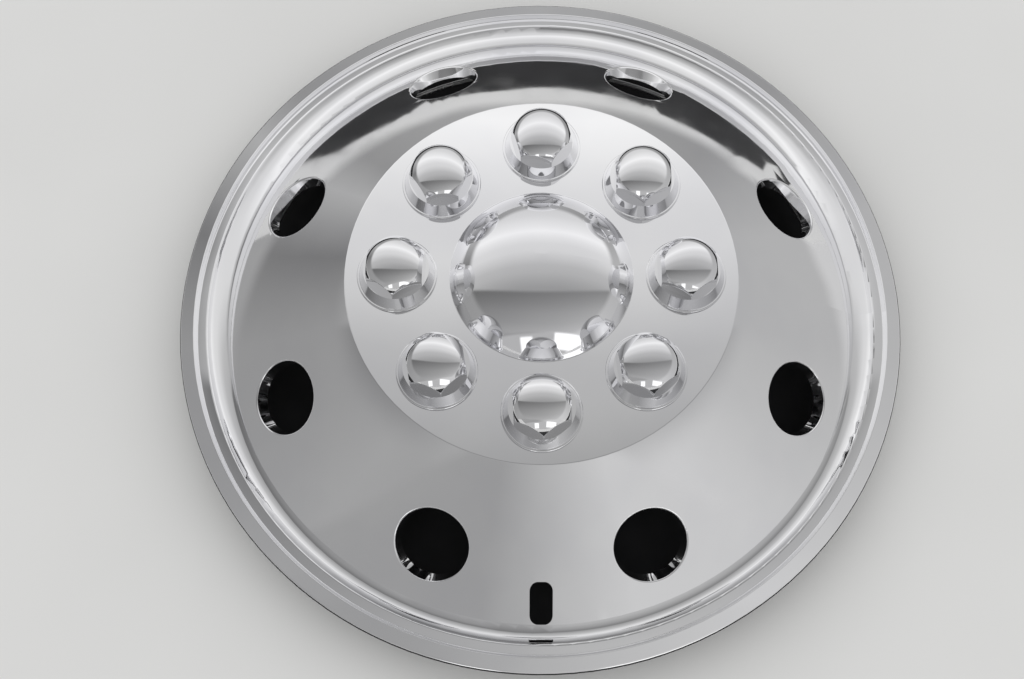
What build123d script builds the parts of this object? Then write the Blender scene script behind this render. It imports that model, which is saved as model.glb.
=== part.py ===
"""Deep chrome wheel cover for an eight-stud wheel, with its nut covers and its retention wire.

The cover is one moulding of even wall: a stepped rim, a cone with collared hand holes and a valve slot,
a flat raised centre with a dome, and the legs behind that hold the wire. Eight hollow nut covers are
pushed into round holes in the centre, each at its own turn, and snap behind it.
It lies face up on the tips of its legs, with the wheel axis on Z. Sizes are in millimetres.
"""
import os
from math import atan2, cos, degrees, radians, sin, sqrt

from build123d import *

# Moulding
wall = 2.5

# Rim section, from the lip inwards
lip_radius = 217.1
lip_height = 31.2
lip_round = 2.1
lip_depth = 3.0
lip_end_round = 0.8
flange_width = 8.8
flange_rise = 2.5
step_width = 1.8
step_drop = 3.1
land_width = 5.7
land_rise = 1.0
ridge_round = 1.5
cove_width = 11.8
cove_drop = 3.6
cove_sag = 1.9
rim_edge_round = 0.6

# Cone, raised centre and dome
cone_rise = 56.8
centre_margin = 6.95
centre_edge_round = 1.0
dome_margin = 7.05
dome_rise = 30.5
dome_foot_round = 0.8

# Hand holes
hole_count = 8
hole_inset = 28.3
hole_radius = 20.8
hole_throat_radius = 18.8
hole_depth = 7.2
hole_edge_round = 1.0
collar_wall = 1.8

# Valve slot
slot_angle = 270
slot_width = 13.0
slot_length = 20.9
slot_inset = 0.1
slot_corner_round = 4.6

# Nut covers
nut_count = 8
nut_turns = (4, 2, 18, -25, -4, 10, 3, 9)
stud_circle_radius = 82.55
nut_wall = 2.0
skirt_radius = 23.0
skirt_lip = 1.4
skirt_lip_round = 0.8
skirt_shoulder_radius = 21.8
skirt_top_radius = 18.7
skirt_height = 9.5
hexagon_flats = 31.8
nut_dome_radius = 19.4
nut_dome_centre = 7.9
spigot_radius = 19.4
spigot_clearance = 0.15
snap_reach = 0.5
snap_land = 0.8
snap_lead = 1.8
nut_edge_round = 0.5

# Retention wire and the legs that hold it
wire_diameter = 3.0
wire_inset = 7.0
wire_height = 6.0
wire_gap = 36.0
wire_end_round = 0.6
seat_clearance = 0.15
leg_width = 16.0
valve_leg_spread = 20.0
leg_wall = 2.6
hook_reach = 1.6
catch_reach = 1.0
catch_wall = 2.0
hook_lead = 2.2
rib_wall = 2.2
rib_reach = 9.0
rib_foot_height = 10.0

# Worked out from the sizes above
flange_inner_radius = lip_radius - flange_width
flange_inner_height = lip_height + flange_rise
step_foot_radius = flange_inner_radius - step_width
step_foot_height = flange_inner_height - step_drop
ridge_radius = step_foot_radius - land_width
ridge_height = step_foot_height + land_rise
cone_foot_radius = ridge_radius - cove_width
cone_foot_height = ridge_height - cove_drop
centre_radius = stud_circle_radius + skirt_radius + centre_margin
centre_height = cone_foot_height + cone_rise
cone_fall = cone_rise / (cone_foot_radius - centre_radius)
cone_slope = atan2(cone_rise, cone_foot_radius - centre_radius)
half_wall_drop = wall / 2 / cos(cone_slope)
dome_radius = stud_circle_radius - skirt_radius - dome_margin
sphere_radius = (dome_radius**2 + dome_rise**2) / (2 * dome_rise)
hole_circle_radius = cone_foot_radius - hole_inset
slot_middle_radius = cone_foot_radius - slot_inset - slot_length / 2
wire_circle_radius = cone_foot_radius - wire_inset
nut_pitch = 360 / nut_count
nut_hole_radius = spigot_radius + spigot_clearance
snap_radius = nut_hole_radius + snap_reach
snap_top = -wall - spigot_clearance
spigot_foot = snap_top - snap_land - snap_lead
hole_pitch = 360 / hole_count
wire_radius = wire_diameter / 2
wire_room = wire_radius + seat_clearance
leg_inner_radius = wire_circle_radius + wire_room
leg_outer_radius = leg_inner_radius + leg_wall
leg_arc = degrees(leg_width / leg_inner_radius)
valve_leg_angles = (slot_angle - valve_leg_spread / 2, slot_angle + valve_leg_spread / 2)
spoke_leg_angles = [index * nut_pitch for index in range(nut_count) if index * nut_pitch != slot_angle]
leg_angles = [*spoke_leg_angles, *valve_leg_angles]
wire_gap_arc = degrees(wire_gap / wire_circle_radius)


def cone_height(radius):
    """Height of the cone's front face at a radius."""
    return centre_height - (radius - centre_radius) * cone_fall


def hole_plane(angle):
    """Plane on the cone's face at a hand hole, with its normal square to the cone."""
    across = Vector(-sin(radians(angle)), cos(radians(angle)), 0)
    outward = Vector(cos(radians(angle)), sin(radians(angle)), 0)
    centre = outward * hole_circle_radius + Vector(0, 0, cone_height(hole_circle_radius))
    normal = outward * sin(cone_slope) + Vector(0, 0, cos(cone_slope))
    return Plane(origin=centre, x_dir=across, z_dir=normal)


os.makedirs("parts", exist_ok=True)

# Nut cover: a hexagon under a dome, on a flared skirt, with a spigot that snaps behind the centre
with BuildPart() as nut_head:
    with BuildSketch():
        RegularPolygon(radius=hexagon_flats / 2, side_count=6, major_radius=False, rotation=30)
    extrude(amount=nut_dome_centre + nut_dome_radius)
    with Locations((0, 0, nut_dome_centre)):
        Sphere(radius=nut_dome_radius, mode=Mode.INTERSECT)
    head_foot = nut_head.faces().sort_by(Axis.Z)[0]
    fillet(nut_head.edges() - head_foot.edges(), nut_edge_round)

inner_flat = hexagon_flats / 2 - nut_wall
inner_dome = nut_dome_radius - nut_wall
inner_dome_foot = nut_dome_centre + sqrt(inner_dome**2 - inner_flat**2)
with BuildPart() as nut_shell:
    with BuildSketch(Plane.XZ) as skirt:
        with BuildLine():
            Polyline(
                (0, spigot_foot),
                (spigot_radius, spigot_foot),
                (snap_radius, spigot_foot + snap_lead),
                (snap_radius, snap_top),
                (spigot_radius, snap_top),
                (spigot_radius, 0),
                (skirt_radius, 0),
                (skirt_radius, skirt_lip),
                (skirt_shoulder_radius, skirt_lip),
                (skirt_top_radius, skirt_height),
                (0, skirt_height),
                close=True,
            )
        make_face()
        skirt_corner = skirt.vertices().sort_by_distance((skirt_radius, skirt_lip))[0]
        fillet(skirt_corner, skirt_lip_round)
    revolve(axis=Axis.Z)
    add(nut_head.part)
    with BuildSketch(Plane.XZ):
        with BuildLine():
            room_wall = Polyline(
                (0, nut_dome_centre + inner_dome),
                (0, spigot_foot),
                (spigot_radius - nut_wall, spigot_foot),
                (spigot_radius - nut_wall, 0),
                (skirt_top_radius - nut_wall, skirt_height - nut_wall),
                (inner_flat, skirt_height - nut_wall),
                (inner_flat, inner_dome_foot),
            )
            RadiusArc(room_wall @ 1, room_wall @ 0, -inner_dome)
        make_face()
    revolve(axis=Axis.Z, mode=Mode.SUBTRACT)

for index, turn in enumerate(nut_turns):
    bearing = radians(index * nut_pitch)
    stud = (stud_circle_radius * cos(bearing), stud_circle_radius * sin(bearing), centre_height)
    with BuildPart() as nut_cover:
        with Locations(Location(stud, (0, 0, turn))):
            add(nut_shell.part)
    nut_cover.part.label = f"nut_cover_{index + 1}"
    export_step(nut_cover.part, f"parts/nut_cover_{index + 1}.step")

# Retention leg: an arc-shaped tab with a hook and a catch for the wire, and a rib behind it
with BuildPart() as leg:
    with BuildSketch(Plane.XZ.rotated((0, 0, -leg_arc / 2))) as leg_section:
        with BuildLine():
            hook_tip = leg_inner_radius - hook_reach
            catch_tip = leg_inner_radius - catch_reach
            catch_foot = wire_height + wire_room
            Polyline(
                (leg_outer_radius, cone_height(leg_outer_radius) - half_wall_drop),
                (leg_inner_radius, cone_height(leg_inner_radius) - half_wall_drop),
                (leg_inner_radius, catch_foot + catch_wall + catch_reach),
                (catch_tip, catch_foot + catch_wall),
                (catch_tip, catch_foot),
                (leg_inner_radius, catch_foot),
                (leg_inner_radius, wire_height - wire_room),
                (hook_tip, wire_height - wire_room),
                (hook_tip, hook_lead),
                (leg_inner_radius, 0),
                (leg_outer_radius, 0),
                close=True,
            )
        make_face()
    revolve(axis=Axis.Z, revolution_arc=leg_arc)
    with BuildSketch(Plane.XZ) as rib:
        with BuildLine():
            rib_root = leg_outer_radius - leg_wall / 2
            rib_top = cone_foot_height - wall / 2
            Polyline(
                (rib_root, rib_foot_height),
                (rib_root, rib_top),
                (leg_outer_radius + rib_reach, rib_top),
                close=True,
            )
        make_face()
    extrude(amount=rib_wall / 2, both=True)

# The cover: its front line thickened to an even wall and turned about the axis, then the details
with BuildPart() as wheel_cover:
    with BuildSketch(Plane.XZ) as section:
        with BuildLine():
            apex = (0, centre_height + dome_rise)
            dome_foot = (dome_radius, centre_height)
            centre_edge = (centre_radius, centre_height)
            cone_foot = (cone_foot_radius, cone_foot_height)
            ridge = (ridge_radius, ridge_height)
            step_foot = (step_foot_radius, step_foot_height)
            flange_inner = (flange_inner_radius, flange_inner_height)
            lip_corner = (lip_radius, lip_height)
            lip_end = (lip_radius, lip_height - lip_depth)
            RadiusArc(apex, dome_foot, sphere_radius)
            Polyline(dome_foot, centre_edge, cone_foot)
            SagittaArc(cone_foot, ridge, -cove_sag)
            Polyline(ridge, step_foot, flange_inner, lip_corner, lip_end)
            offset(amount=wall, side=Side.RIGHT)
        make_face()
        for corner, corner_round in (
            (dome_foot, dome_foot_round),
            (centre_edge, centre_edge_round),
            (ridge, ridge_round),
            (step_foot, rim_edge_round),
            (flange_inner, rim_edge_round),
            (lip_corner, lip_round),
            (lip_end, lip_end_round),
        ):
            fillet(section.vertices().sort_by_distance(corner)[0], corner_round)
    revolve(axis=Axis.Z)

    with Locations((0, 0, centre_height)):
        with PolarLocations(stud_circle_radius, nut_count):
            Hole(radius=nut_hole_radius)

    hole_planes = [hole_plane((index + 0.5) * hole_pitch) for index in range(hole_count)]
    collar_height = hole_depth - wall / 2
    bore_taper = (hole_radius - hole_throat_radius) / hole_depth
    with Locations(*hole_planes):
        with Locations((0, 0, -hole_depth)):
            Cone(
                bottom_radius=hole_throat_radius + collar_wall,
                top_radius=hole_throat_radius + collar_wall + collar_height * bore_taper,
                height=collar_height,
                align=(Align.CENTER, Align.CENTER, Align.MIN),
            )
            Cone(
                bottom_radius=hole_throat_radius - hole_depth * bore_taper,
                top_radius=hole_radius + hole_depth * bore_taper,
                height=3 * hole_depth,
                align=(Align.CENTER, Align.CENTER, Align.CENTER),
                mode=Mode.SUBTRACT,
            )
    hole_edges = []
    for plane in hole_planes:
        above_hole = plane.origin + plane.z_dir * hole_radius
        hole_edges += wheel_cover.edges().sort_by_distance(above_hole)[:1]
    fillet(hole_edges, hole_edge_round)

    slot_bearing = Plane.XY.rotated((0, 0, slot_angle))
    with BuildSketch(slot_bearing):
        with Locations((slot_middle_radius, 0)):
            RectangleRounded(slot_length, slot_width, slot_corner_round)
    extrude(amount=centre_height, mode=Mode.SUBTRACT)

    with Locations(*[Location((0, 0, 0), (0, 0, angle)) for angle in leg_angles]):
        add(leg.part)
wheel_cover.part.label = "wheel_cover"
export_step(wheel_cover.part, "parts/wheel_cover.step")

# The wire: an open ring of spring steel, with its gap behind the valve slot
with BuildPart() as retention_ring:
    with BuildLine(Plane.XY.offset(wire_height)) as ring_path:
        CenterArc((0, 0), wire_circle_radius, slot_angle + wire_gap_arc / 2, 360 - wire_gap_arc)
    with BuildSketch(ring_path.line ^ 0):
        Circle(wire_radius)
    sweep()
    ring_ends = retention_ring.faces().filter_by(GeomType.PLANE)
    fillet(ring_ends.edges(), wire_end_round)
retention_ring.part.label = "retention_ring"
export_step(retention_ring.part, "parts/retention_ring.step")
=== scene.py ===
"""Deep chrome wheel cover with eight nut covers and a wire ring, lying face up on a pale studio floor."""

from math import radians

import bmesh
import bpy
from mathutils import Matrix, Vector

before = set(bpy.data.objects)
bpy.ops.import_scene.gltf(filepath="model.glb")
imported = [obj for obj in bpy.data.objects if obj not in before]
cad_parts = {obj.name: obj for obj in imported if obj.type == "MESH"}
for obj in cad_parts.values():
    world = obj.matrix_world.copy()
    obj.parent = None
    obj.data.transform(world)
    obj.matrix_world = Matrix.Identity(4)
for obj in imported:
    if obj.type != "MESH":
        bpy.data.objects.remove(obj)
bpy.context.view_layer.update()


# The cover is one plastic moulding under bright chrome. Its face mirrors the room with the slow waves of a
# moulded skin. Its back is plated too, but over an unpolished mould, so it is dull there.
def add_node(tree, kind, **settings):
    """A new node of the tree with the settings given."""
    node = tree.nodes.new(kind)
    for setting, value in settings.items():
        setattr(node, setting, value)
    return node


def noise(tree, place, scale, detail):
    """Noise on the place given, with its scale in waves per metre."""
    node = add_node(tree, "ShaderNodeTexNoise")
    node.inputs["Scale"].default_value = scale
    node.inputs["Detail"].default_value = detail
    tree.links.new(place, node.inputs["Vector"])
    return node.outputs["Fac"]


def ramp(tree, value, stops):
    """Colours blended along a value. Each stop is a position and a colour."""
    node = add_node(tree, "ShaderNodeValToRGB")
    elements = node.color_ramp.elements
    while len(elements) < len(stops):
        elements.new(1.0)
    for element, (position, colour) in zip(elements, stops):
        element.position = position
        element.color = (*colour, 1.0)
    tree.links.new(value, node.inputs["Fac"])
    return node.outputs["Color"]


def spread(tree, value, low, high, out_low, out_high):
    """A value taken smoothly from one span to another."""
    node = add_node(tree, "ShaderNodeMapRange", interpolation_type="SMOOTHSTEP")
    node.inputs["From Min"].default_value = low
    node.inputs["From Max"].default_value = high
    node.inputs["To Min"].default_value = out_low
    node.inputs["To Max"].default_value = out_high
    tree.links.new(value, node.inputs["Value"])
    return node.outputs["Result"]


def calculate(tree, operation, first, second=None):
    """One sum on two values, each a socket or a number."""
    node = add_node(tree, "ShaderNodeMath", operation=operation)
    for socket, value in zip(node.inputs, (first, second)):
        if value is None:
            continue
        if isinstance(value, (int, float)):
            socket.default_value = value
        else:
            tree.links.new(value, socket)
    return node.outputs["Value"]


def plated_chrome(name, wave_scale, wave_height, bright, shade):
    """Bright plating: a clean mirror with slow waves, a faint uneven haze and a dull unpolished back."""
    haze_scale = 38.0
    stain_scale = 14.0
    clear_roughness = 0.035
    hazed_roughness = 0.075
    back_roughness = 0.30
    material = bpy.data.materials.new(name)
    material.use_nodes = True
    tree = material.node_tree
    shader = tree.nodes["Principled BSDF"]
    shader.inputs["Metallic"].default_value = 1.0
    coordinates = add_node(tree, "ShaderNodeTexCoord")
    place = coordinates.outputs["Object"]

    stain = noise(tree, place, stain_scale, 3.0)
    tree.links.new(ramp(tree, stain, [(0.35, shade), (0.60, bright)]), shader.inputs["Base Color"])

    haze = spread(tree, noise(tree, place, haze_scale, 4.0), 0.40, 0.75, clear_roughness, hazed_roughness)
    facing = add_node(tree, "ShaderNodeSeparateXYZ")
    tree.links.new(coordinates.outputs["Normal"], facing.inputs["Vector"])
    back = spread(tree, facing.outputs["Z"], -0.05, -0.30, 0.0, back_roughness)
    tree.links.new(calculate(tree, "ADD", haze, back), shader.inputs["Roughness"])

    bump = add_node(tree, "ShaderNodeBump")
    bump.inputs["Strength"].default_value = 1.0
    bump.inputs["Distance"].default_value = wave_height
    tree.links.new(noise(tree, place, wave_scale, 1.0), bump.inputs["Height"])
    tree.links.new(bump.outputs["Normal"], shader.inputs["Normal"])
    return material


chrome_bright = (0.90, 0.90, 0.91)
chrome_shade = (0.85, 0.85, 0.87)
cover_wave_scale = 16.0
cover_wave_height = 0.0003
cover_chrome = plated_chrome("cover_chrome", cover_wave_scale, cover_wave_height, chrome_bright, chrome_shade)
wheel_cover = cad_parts["wheel_cover"]
wheel_cover.material_slots[0].material = cover_chrome

# The nut covers are hollow plastic mouldings with the same plating. Each is pushed into its hole at a turn of
# its own, and being small they are plated a little smoother than the cover.
nut_wave_scale = 55.0
nut_wave_height = 0.00006
nut_chrome = plated_chrome("nut_chrome", nut_wave_scale, nut_wave_height, chrome_bright, chrome_shade)
nut_covers = [node for name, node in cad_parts.items() if name.startswith("nut_cover_")]
for nut_cover in nut_covers:
    nut_cover.material_slots[0].material = nut_chrome

# The wire is drawn spring steel, zinc plated, bent to an open ring and snapped into the legs behind the rim.
# Its plating is grey and uneven, with brighter rubbed patches.
wire_grey = (0.50, 0.50, 0.51)
wire_rubbed = (0.72, 0.72, 0.71)
wire_wear_scale = 70.0
wire_rough = 0.42
wire_smooth = 0.22
wire_steel = bpy.data.materials.new("wire_steel")
wire_steel.use_nodes = True
wire_tree = wire_steel.node_tree
wire_shader = wire_tree.nodes["Principled BSDF"]
wire_shader.inputs["Metallic"].default_value = 1.0
wire_place = add_node(wire_tree, "ShaderNodeTexCoord").outputs["Object"]
wire_wear = noise(wire_tree, wire_place, wire_wear_scale, 3.0)
wire_colour = ramp(wire_tree, wire_wear, [(0.40, wire_grey), (0.65, wire_rubbed)])
wire_tree.links.new(wire_colour, wire_shader.inputs["Base Color"])
wire_roughness = spread(wire_tree, wire_wear, 0.35, 0.70, wire_rough, wire_smooth)
wire_tree.links.new(wire_roughness, wire_shader.inputs["Roughness"])
retention_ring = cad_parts["retention_ring"]
retention_ring.material_slots[0].material = wire_steel

# The floor is a sheet of pale card, wide enough to fill every view.
floor_half = 4.0
floor_pale = (0.80, 0.80, 0.79)
floor_shade = (0.77, 0.77, 0.76)
floor_roughness = 0.7
floor_grain_scale = 6.0
floor_card = bpy.data.materials.new("floor_card")
floor_card.use_nodes = True
floor_tree = floor_card.node_tree
floor_shader = floor_tree.nodes["Principled BSDF"]
floor_shader.inputs["Roughness"].default_value = floor_roughness
floor_place = add_node(floor_tree, "ShaderNodeTexCoord").outputs["Object"]
floor_grain = noise(floor_tree, floor_place, floor_grain_scale, 2.0)
floor_colour = ramp(floor_tree, floor_grain, [(0.3, floor_shade), (0.7, floor_pale)])
floor_tree.links.new(floor_colour, floor_shader.inputs["Base Color"])


def stage_piece(name, shape, material):
    """A piece of the stage from its finished shape."""
    mesh = bpy.data.meshes.new(name)
    shape.to_mesh(mesh)
    shape.free()
    mesh.materials.append(material)
    stage_object = bpy.data.objects.new(name, mesh)
    bpy.context.scene.collection.objects.link(stage_object)
    return stage_object


def flat_sheet(name, half_width, near, far, height, material):
    """A level sheet of the stage, from its near edge to its far edge."""
    sheet = bmesh.new()
    bmesh.ops.create_grid(sheet, x_segments=24, y_segments=1, size=1.0)
    bmesh.ops.scale(sheet, vec=(half_width, (far - near) / 2, 1.0), verts=sheet.verts)
    bmesh.ops.translate(sheet, vec=(0.0, (far + near) / 2, height), verts=sheet.verts)
    return stage_piece(name, sheet, material)


flat_sheet("floor", floor_half, -floor_half, floor_half, 0.0, floor_card)

# A black pad lies under the cover, as wide as its legs: a dark sheet of painted shade, seen only through the
# holes and under the rim. A larger black cloth lies there for the cover's reflections alone: the camera and
# the light pass the cloth by.
shade_pad_radius = 0.200
shade_pad_lift = 0.0002
cloth_half = 0.385
cloth_near = -0.60
cloth_far = 0.415
cloth_lift = 0.0004
cloth_bow = 0.38
felt_deep = (0.008, 0.008, 0.009)
felt_worn = (0.020, 0.020, 0.022)
felt_roughness = 0.9
felt_nap_scale = 20.0
# The black felt serves both the cloth seen in the chrome and the pad of painted shade under the cover.
black_felt_and_painted_shade = bpy.data.materials.new("black_felt_and_painted_shade")
black_felt_and_painted_shade.use_nodes = True
felt_tree = black_felt_and_painted_shade.node_tree
felt_shader = felt_tree.nodes["Principled BSDF"]
felt_shader.inputs["Roughness"].default_value = felt_roughness
felt_place = add_node(felt_tree, "ShaderNodeTexCoord").outputs["Object"]
felt_nap = noise(felt_tree, felt_place, felt_nap_scale, 3.0)
felt_colour = ramp(felt_tree, felt_nap, [(0.3, felt_deep), (0.7, felt_worn)])
felt_tree.links.new(felt_colour, felt_shader.inputs["Base Color"])


def show_to_reflections_only(stage_object):
    """The piece is seen in the chrome, and neither by the camera nor by the floor."""
    stage_object.visible_camera = False
    stage_object.visible_diffuse = False
    stage_object.visible_shadow = False


# Painted shade: the pad is a black sheet put under the cover, where only shade falls, so the holes and the
# gap under the rim look dark.
shade_pad = bmesh.new()
bmesh.ops.create_circle(shade_pad, cap_ends=True, segments=96, radius=shade_pad_radius)
bmesh.ops.translate(shade_pad, vec=(0.0, 0.0, shade_pad_lift), verts=shade_pad.verts)
stage_piece("shade_pad", shade_pad, black_felt_and_painted_shade)
cloth = flat_sheet("cloth", cloth_half, cloth_near, cloth_far, cloth_lift, black_felt_and_painted_shade)
for corner in cloth.data.vertices:
    if corner.co.y > 0:
        corner.co.y += cloth_bow * corner.co.x**2
show_to_reflections_only(cloth)


# The light is a round white tent close about the cover, seen in the chrome: a bright back, a pale top, a grey
# front sheet and dimmer walls. Its hem stops above the cloth, and its front has a gap with lamps beyond it.
# Places on the tent are degrees from straight up, to the front or right, or degrees of bearing.
def angles_from_top(tree, heading):
    """Degrees from straight up of a heading: in all, to the right and to the front."""
    parts = add_node(tree, "ShaderNodeSeparateXYZ")
    tree.links.new(heading, parts.inputs["Vector"])
    right = parts.outputs["X"]
    back = parts.outputs["Y"]
    from_top = calculate(tree, "DEGREES", calculate(tree, "ARCCOSINE", parts.outputs["Z"]))
    squares = calculate(tree, "ADD", calculate(tree, "POWER", right, 2), calculate(tree, "POWER", back, 2))
    level = calculate(tree, "MAXIMUM", calculate(tree, "SQRT", squares), 0.0001)
    share = calculate(tree, "DIVIDE", from_top, level)
    to_right = calculate(tree, "MULTIPLY", share, right)
    to_front = calculate(tree, "MULTIPLY", calculate(tree, "MULTIPLY", share, back), -1)
    bearing = calculate(tree, "DEGREES", calculate(tree, "ARCTAN2", back, right))
    return from_top, to_right, to_front, bearing


def patch(tree, value, low, high, soft):
    """One between two limits of a value and nought outside, with soft edges."""
    rise = spread(tree, value, low - soft, low + soft, 0.0, 1.0)
    fall = spread(tree, value, high - soft, high + soft, 1.0, 0.0)
    return calculate(tree, "MULTIPLY", rise, fall)


def layer(tree, amount, under, over):
    """One layer of light over another, each a socket or a colour."""
    node = add_node(tree, "ShaderNodeMix", data_type="RGBA")
    tree.links.new(amount, node.inputs["Factor"])
    for socket, colour in ((node.inputs[6], under), (node.inputs[7], over)):
        if isinstance(colour, tuple):
            socket.default_value = (*colour, 1.0)
        else:
            tree.links.new(colour, socket)
    return node.outputs[2]


def grey_ramp(tree, value, reach, stops):
    """Greys along a value that runs from minus its reach to its reach."""
    share = spread(tree, value, -reach, reach, 0.0, 1.0)
    share.node.interpolation_type = "LINEAR"
    return ramp(tree, share, [((at + reach) / (2 * reach), (grey, grey, grey)) for at, grey in stops])


tent_radius = 0.280
tent_centre = (0.0, 0.0, 0.031)
tent_white = bpy.data.materials.new("tent_white")
tent_white.use_nodes = True
tent_white.cycles.emission_sampling = "NONE"
tent = tent_white.node_tree
tent.nodes.remove(tent.nodes["Principled BSDF"])
from_centre = add_node(tent, "ShaderNodeVectorMath", operation="SUBTRACT")
from_centre.inputs[1].default_value = tent_centre
tent.links.new(add_node(tent, "ShaderNodeTexCoord").outputs["Object"], from_centre.inputs[0])
heading = add_node(tent, "ShaderNodeVectorMath", operation="NORMALIZE")
tent.links.new(from_centre.outputs["Vector"], heading.inputs[0])
from_top, to_right, to_front, bearing = angles_from_top(tent, heading.outputs["Vector"])

tent_top = grey_ramp(tent, to_front, 100, [
    (-92, 0.56), (-77, 0.70), (-63, 0.76), (-49, 0.90), (-42, 1.00), (-35, 0.87), (-28, 0.77), (-21, 0.74),
    (-14, 0.64), (-7, 0.53), (0, 0.49), (7, 0.42), (14, 0.36), (30, 0.40),
])
sheet_bow = calculate(tent, "MULTIPLY", calculate(tent, "POWER", to_right, 2), 0.003)
sheet_place = calculate(tent, "ADD", to_front, sheet_bow)
front_sheet = grey_ramp(tent, sheet_place, 100, [(20, 0.22), (28, 0.27), (36, 0.33), (46, 0.38), (58, 0.49)])
sheet_edge = spread(tent, sheet_place, 15, 19, 0.0, 1.0)
sheet_side = spread(tent, to_right, -70, 70, 0.72, 1.30)
sheet_side.node.interpolation_type = "LINEAR"
sheet_light = add_node(tent, "ShaderNodeVectorMath", operation="SCALE")
tent.links.new(front_sheet, sheet_light.inputs[0])
tent.links.new(sheet_side, sheet_light.inputs["Scale"])
tent_light = layer(tent, sheet_edge, tent_top, sheet_light.outputs["Vector"])
tent_wall = grey_ramp(tent, bearing, 180, [
    (-180, 0.32), (-160, 0.34), (-140, 0.39), (-105, 0.34), (-97, 0.37), (-78, 0.62), (-60, 0.66),
    (-45, 0.65), (-20, 0.54), (0, 0.49), (25, 0.48), (38, 0.42), (50, 0.34), (65, 0.34), (90, 0.43),
    (118, 0.35), (132, 0.31), (142, 0.44), (150, 0.34), (160, 0.21), (170, 0.27), (180, 0.32),
])
wall_slant = calculate(tent, "ADD", from_top, calculate(tent, "MULTIPLY", to_front, 0.1))
tent_light = layer(tent, spread(tent, wall_slant, 66, 73, 0.0, 1.0), tent_light, tent_wall)
glow = add_node(tent, "ShaderNodeEmission")
tent.links.new(tent_light, glow.inputs["Color"])
gap_top = spread(tent, to_front, 52, 56, 0.0, 1.0)
gap_width = patch(tent, bearing, -148, -30, 6)
gap = calculate(tent, "MULTIPLY", gap_top, gap_width)
below_hem = spread(tent, from_top, 86, 88, 0.0, 1.0)
tent_cut = add_node(tent, "ShaderNodeMixShader")
tent.links.new(calculate(tent, "MAXIMUM", gap, below_hem), tent_cut.inputs["Fac"])
tent.links.new(glow.outputs["Emission"], tent_cut.inputs[1])
tent.links.new(add_node(tent, "ShaderNodeBsdfTransparent").outputs["BSDF"], tent_cut.inputs[2])
tent.links.new(tent_cut.outputs["Shader"], tent.nodes["Material Output"].inputs["Surface"])
tent_skin = bmesh.new()
bmesh.ops.create_icosphere(tent_skin, subdivisions=6, radius=tent_radius)
bmesh.ops.translate(tent_skin, vec=tent_centre, verts=tent_skin.verts)
show_to_reflections_only(stage_piece("tent", tent_skin, tent_white))

world = bpy.data.worlds.new("room")
bpy.context.scene.world = world
world.use_nodes = True
room = world.node_tree
room_heading = add_node(room, "ShaderNodeTexCoord").outputs["Generated"]
_, room_right, room_front, _ = angles_from_top(room, room_heading)
lamp_white = (1.30, 1.30, 1.30)
lamp_soft = 2
low_grey = (0.51, 0.51, 0.51)
room_light = grey_ramp(room, room_right, 100, [(-60, 0.36), (-16, 0.36), (26, 0.64), (60, 0.64)])
room_light = layer(room, spread(room, room_front, 62, 66, 0.0, 1.0), room_light, low_grey)
for lamp_left, lamp_right, lamp_top, lamp_foot in ((-28, -12, 68, 87), (17, 56, 62, 83)):
    lamp_width = patch(room, room_right, lamp_left, lamp_right, lamp_soft)
    lamp_height = patch(room, room_front, lamp_top, lamp_foot, lamp_soft)
    lamp = calculate(room, "MULTIPLY", lamp_width, lamp_height)
    room_light = layer(room, lamp, room_light, lamp_white)
studio_pale = (0.88, 0.88, 0.88)
in_chrome = add_node(room, "ShaderNodeLightPath").outputs["Is Glossy Ray"]
room.links.new(layer(room, in_chrome, studio_pale, room_light), room.nodes["Background"].inputs["Color"])

# The camera stands in front of the cover and looks down on it, a little turned and rolled.
camera_distance = 0.925
camera_lean = radians(21.35)
camera_roll = radians(1.25)
camera_turn = radians(-1.2)
aim = Vector((0.00014, -0.0181, 0.031))
camera_sensor = 36.0
camera_lens = 54.21
camera_shift = -0.0278
camera_data = bpy.data.cameras.new("camera")
camera_data.sensor_width = camera_sensor
camera_data.lens = camera_lens
camera_data.shift_x = camera_shift
camera = bpy.data.objects.new("camera", camera_data)
bpy.context.scene.collection.objects.link(camera)
lean = Matrix.Rotation(camera_lean, 4, "X")
roll = Matrix.Rotation(camera_roll, 4, "Z")
turn = Matrix.Rotation(camera_turn, 4, "Z")
to_aim = Matrix.Translation(aim)
away = Matrix.Translation((0, 0, camera_distance))
camera.matrix_world = turn @ to_aim @ lean @ away @ roll
bpy.context.scene.camera = camera
bpy.context.scene.view_settings.view_transform = "Standard"
